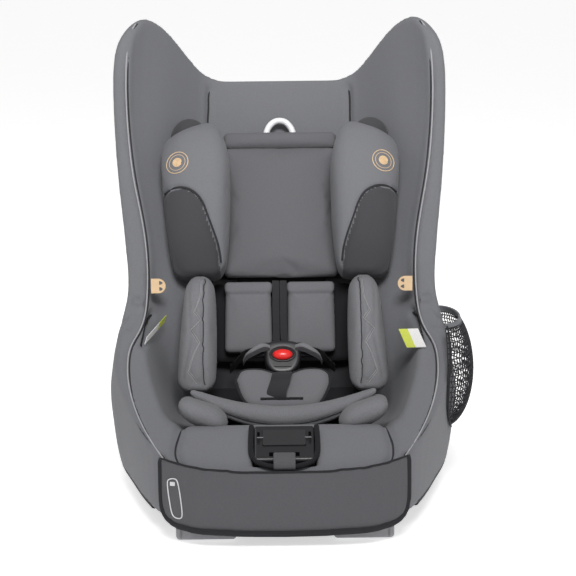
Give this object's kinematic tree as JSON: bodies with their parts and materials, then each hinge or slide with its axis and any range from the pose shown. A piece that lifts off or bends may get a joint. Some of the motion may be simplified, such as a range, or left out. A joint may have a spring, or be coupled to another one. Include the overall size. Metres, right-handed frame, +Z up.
{
  "type": "convertible car seat",
  "caption": "Convertible child car seat with reclining bucket, sliding headrest, infant insert, harness buckle, strap adjuster, side mesh pocket and front apron on a footed base.",
  "frame": {"origin": "middle of the base's footprint, on the surface the seat stands on", "axes": "+X to the right of somebody facing the seat, +Y towards the seat's back, +Z up"},
  "size_m": [0.4869, 0.5558, 0.6213],
  "materials": {
    "fabric_main": "woven polyester cover, matt",
    "fabric_apron": "woven polyester, darker",
    "fabric_insert": "soft heather knit",
    "webbing": "harness webbing",
    "mesh": "elastic mesh",
    "shell_plastic": "moulded, fine texture",
    "foot_plastic": "silver grey moulded",
    "control_plastic": "black moulded",
    "red_plastic": "red release button",
    "white_plastic": "white moulded handle",
    "steel": "zinc plated",
    "rubber": "grip pad",
    "gold": "satin gold tab",
    "tag": "blank woven tag"
  },
  "bodies": {
    "base": {"base_shell": "shell_plastic", "foot_left": "foot_plastic", "foot_right": "foot_plastic", "foot_pads": "rubber", "base_screws": "steel", "recline_axle": "steel", "latch_springs": "steel"},
    "recline_release": {"recline_handle": "control_plastic", "latch_linkage": "steel"},
    "seat": {"seat_shell": "shell_plastic", "cover_seat": "fabric_main", "cover_back": "fabric_main", "cover_arm_left": "fabric_main", "cover_arm_right": "fabric_main", "cover_wing_left": "fabric_main", "cover_wing_right": "fabric_main", "hinge_lugs": "shell_plastic", "recline_racks": "shell_plastic", "rod_guides": "shell_plastic", "tether_plate": "steel", "yoke": "steel", "rear_straps": "webbing", "adjuster_strap": "webbing", "crotch_anchor": "steel", "crotch_strap": "webbing", "crotch_pad": "fabric_main", "insert_back": "fabric_insert", "insert_seat": "fabric_insert", "insert_roll": "fabric_insert", "insert_bolster_left": "fabric_insert", "insert_bolster_right": "fabric_insert", "insert_lobe_left": "fabric_insert", "insert_lobe_right": "fabric_insert", "buckle_housing": "control_plastic", "buckle_tongue_left": "steel", "buckle_tongue_right": "steel", "lap_straps": "webbing", "shoulder_straps": "webbing", "adjuster_housing": "control_plastic", "strap_tail": "webbing", "apron": "fabric_apron", "gold_tabs": "gold", "belt_tags": "tag", "mesh_pocket": "mesh", "pocket_band": "mesh"},
    "headrest": {"headrest_frame": "shell_plastic", "headrest_rods": "steel", "harness_carrier": "steel", "headrest_pad": "fabric_main", "headrest_flap": "fabric_main", "headrest_wing_left": "fabric_main", "headrest_wing_right": "fabric_main", "shoulder_pad_left": "fabric_main", "shoulder_pad_right": "fabric_main", "handle_springs": "steel"},
    "headrest_release": {"headrest_handle": "white_plastic", "handle_latch_bar": "steel"},
    "buckle_release": {"buckle_button": "red_plastic"},
    "adjuster_release": {"adjuster_button": "control_plastic"}
  },
  "joints": [
    {"name": "seat_recline", "type": "hinge", "parent": "base", "child": "seat", "pos_m": [0, 0.15, 0.04], "axis": [-1, 0, 0], "range_deg": [0, 10]},
    {"name": "recline_handle_pull", "type": "slide", "parent": "base", "child": "recline_release", "axis": [0, -1, 0], "range_m": [0, 0.008], "stiffness_N_per_m": 900},
    {"name": "headrest_height", "type": "slide", "parent": "seat", "child": "headrest", "axis": [0, 0.4617, 0.887], "range_m": [0, 0.1]},
    {"name": "headrest_handle_pull", "type": "slide", "parent": "headrest", "child": "headrest_release", "axis": [0, 0.4617, 0.887], "range_m": [0, 0.008], "stiffness_N_per_m": 400},
    {"name": "buckle_button_press", "type": "slide", "parent": "seat", "child": "buckle_release", "axis": [0, 0.766, -0.6428], "range_m": [0, 0.003], "stiffness_N_per_m": 1500},
    {"name": "adjuster_button_press", "type": "slide", "parent": "seat", "child": "adjuster_release", "axis": [0, 0.4848, -0.8746], "range_m": [0, 0.003], "stiffness_N_per_m": 1500}
  ]
}
